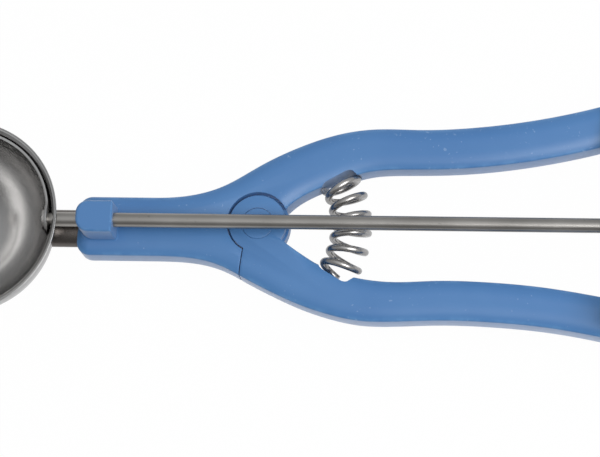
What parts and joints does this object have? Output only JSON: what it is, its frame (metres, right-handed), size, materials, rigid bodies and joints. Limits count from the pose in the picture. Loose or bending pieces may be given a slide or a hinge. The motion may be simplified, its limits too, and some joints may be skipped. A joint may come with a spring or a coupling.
{
  "type": "lever ice cream scoop",
  "caption": "Deep round steel bowl on blue moulded plier handles; squeezing them against the bent coil spring turns a long shaft that sweeps a scraper blade round the bowl.",
  "frame": {"origin": "on the flat back of the shank, behind the middle of the front shaft boss", "axes": "+X along the shaft from the bowl to the handle ends, +Y towards the fixed handle, +Z the way the bowl opens"},
  "size_m": [0.2405, 0.0782, 0.0379],
  "materials": {
    "blue_plastic": "satin",
    "bowl_steel": "polished",
    "shaft_steel": "satin",
    "polished_steel": "polished",
    "drive_steel": "satin",
    "bush_brass": "satin"
  },
  "bodies": {
    "frame_body": {"bowl": "bowl_steel", "bowl_stem": "bowl_steel", "far_pivot_rivet": "polished_steel", "fixed_handle": "blue_plastic", "rear_bracket": "drive_steel", "bracket_rivets": "polished_steel", "rear_bush": "bush_brass", "handle_spring": "polished_steel"},
    "lever": {"moving_handle": "blue_plastic", "pivot_pin": "shaft_steel", "front_pivot_cap": "blue_plastic", "rear_pivot_cap": "blue_plastic", "drive_rack": "drive_steel", "rack_rivets": "polished_steel"},
    "scraper": {"scraper_shaft": "shaft_steel", "scraper_blade": "polished_steel", "blade_rivet": "polished_steel", "pinion": "drive_steel", "pinion_pin": "shaft_steel", "thrust_washer": "shaft_steel", "shaft_clip": "shaft_steel"}
  },
  "joints": [
    {"name": "handle_squeeze", "type": "hinge", "parent": "frame_body", "child": "lever", "pos_m": [0.0465, 0.001, 0.005], "axis": [0, 0, 1], "range_deg": [0, 7.75], "stiffness_Nm_per_rad": 2, "springref_deg": -8.59, "deforming": ["handle_spring"]},
    {"name": "scraper_turn", "type": "hinge", "parent": "frame_body", "child": "scraper", "pos_m": [0, 0, 0.0155], "axis": [1, 0, 0], "range_deg": [-171, 0]}
  ],
  "couplings": [
    {"joint": "scraper_turn", "follows": "handle_squeeze", "ratio": -21.919}
  ]
}
